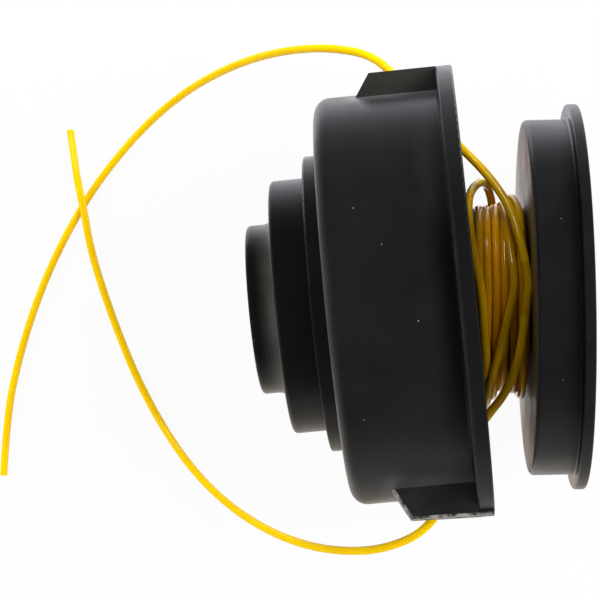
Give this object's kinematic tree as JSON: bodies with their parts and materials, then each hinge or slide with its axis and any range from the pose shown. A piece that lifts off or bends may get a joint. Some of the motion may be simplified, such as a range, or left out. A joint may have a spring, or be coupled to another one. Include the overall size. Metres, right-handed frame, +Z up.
{
  "type": "trimmer head with line spool",
  "caption": "Cup-shaped trimmer head lying on its side, its line spool drawn part way out, with both ends of the cutting line led out through the side exits and trailing over the ground.",
  "frame": {"origin": "on the ground, under the middle of the head's box, the trailing line left out", "axes": "+Z up from the ground; +X from the hub towards the drawn-out spool, along the ground; +Y to the side of the upper line exit"},
  "size_m": [0.1844, 0.1293, 0.1049],
  "materials": {
    "housing": "satin moulded nylon",
    "hub_sleeve": "satin moulded nylon",
    "drive_nut": "zinc plated",
    "feed_spring": "drawn spring wire",
    "spool": "satin moulded nylon",
    "line_winding": "glossy translucent nylon line",
    "line_upper": "glossy translucent nylon line",
    "line_lower": "glossy translucent nylon line"
  },
  "bodies": {
    "root": {"housing": "housing", "hub_sleeve": "hub_sleeve", "drive_nut": "drive_nut", "feed_spring": "feed_spring", "spool": "spool", "line_winding": "line_winding", "line_upper": "line_upper", "line_lower": "line_lower"}
  },
  "joints": []
}
